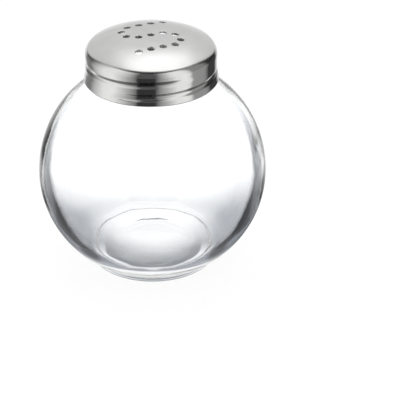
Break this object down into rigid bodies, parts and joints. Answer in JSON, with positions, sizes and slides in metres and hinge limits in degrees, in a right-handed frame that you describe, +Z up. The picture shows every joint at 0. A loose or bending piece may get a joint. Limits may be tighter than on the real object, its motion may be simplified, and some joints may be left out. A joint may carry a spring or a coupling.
{
  "type": "salt shaker",
  "caption": "Globe-shaped clear glass salt shaker on a low foot, with a domed steel screw cap whose pour holes form an S.",
  "frame": {"origin": "centre of the foot, on the surface that the shaker stands on", "axes": "+Z up along the axis of the jar and cap, -Y towards the front as pictured, +X to the right"},
  "size_m": [0.07, 0.07, 0.075],
  "materials": {
    "glass": "clear, polished",
    "seal": "matt",
    "steel": "polished skirt, satin top"
  },
  "bodies": {
    "jar": {"glass_jar": "glass"},
    "ring": {"sealing_ring": "seal"},
    "cap": {"screw_cap": "steel"}
  },
  "joints": [
    {"name": "cap_lift", "type": "slide", "parent": "jar", "child": "ring", "axis": [0, 0, 1], "range_m": [0, 0.01405]},
    {"name": "cap_turn", "type": "hinge", "parent": "ring", "child": "cap", "pos_m": [0, 0, 0.0693], "axis": [0, 0, 1], "range_deg": [0, 1260]}
  ],
  "couplings": [
    {"joint": "cap_lift", "follows": "cap_turn", "m_per_rad": 0.00063662}
  ]
}
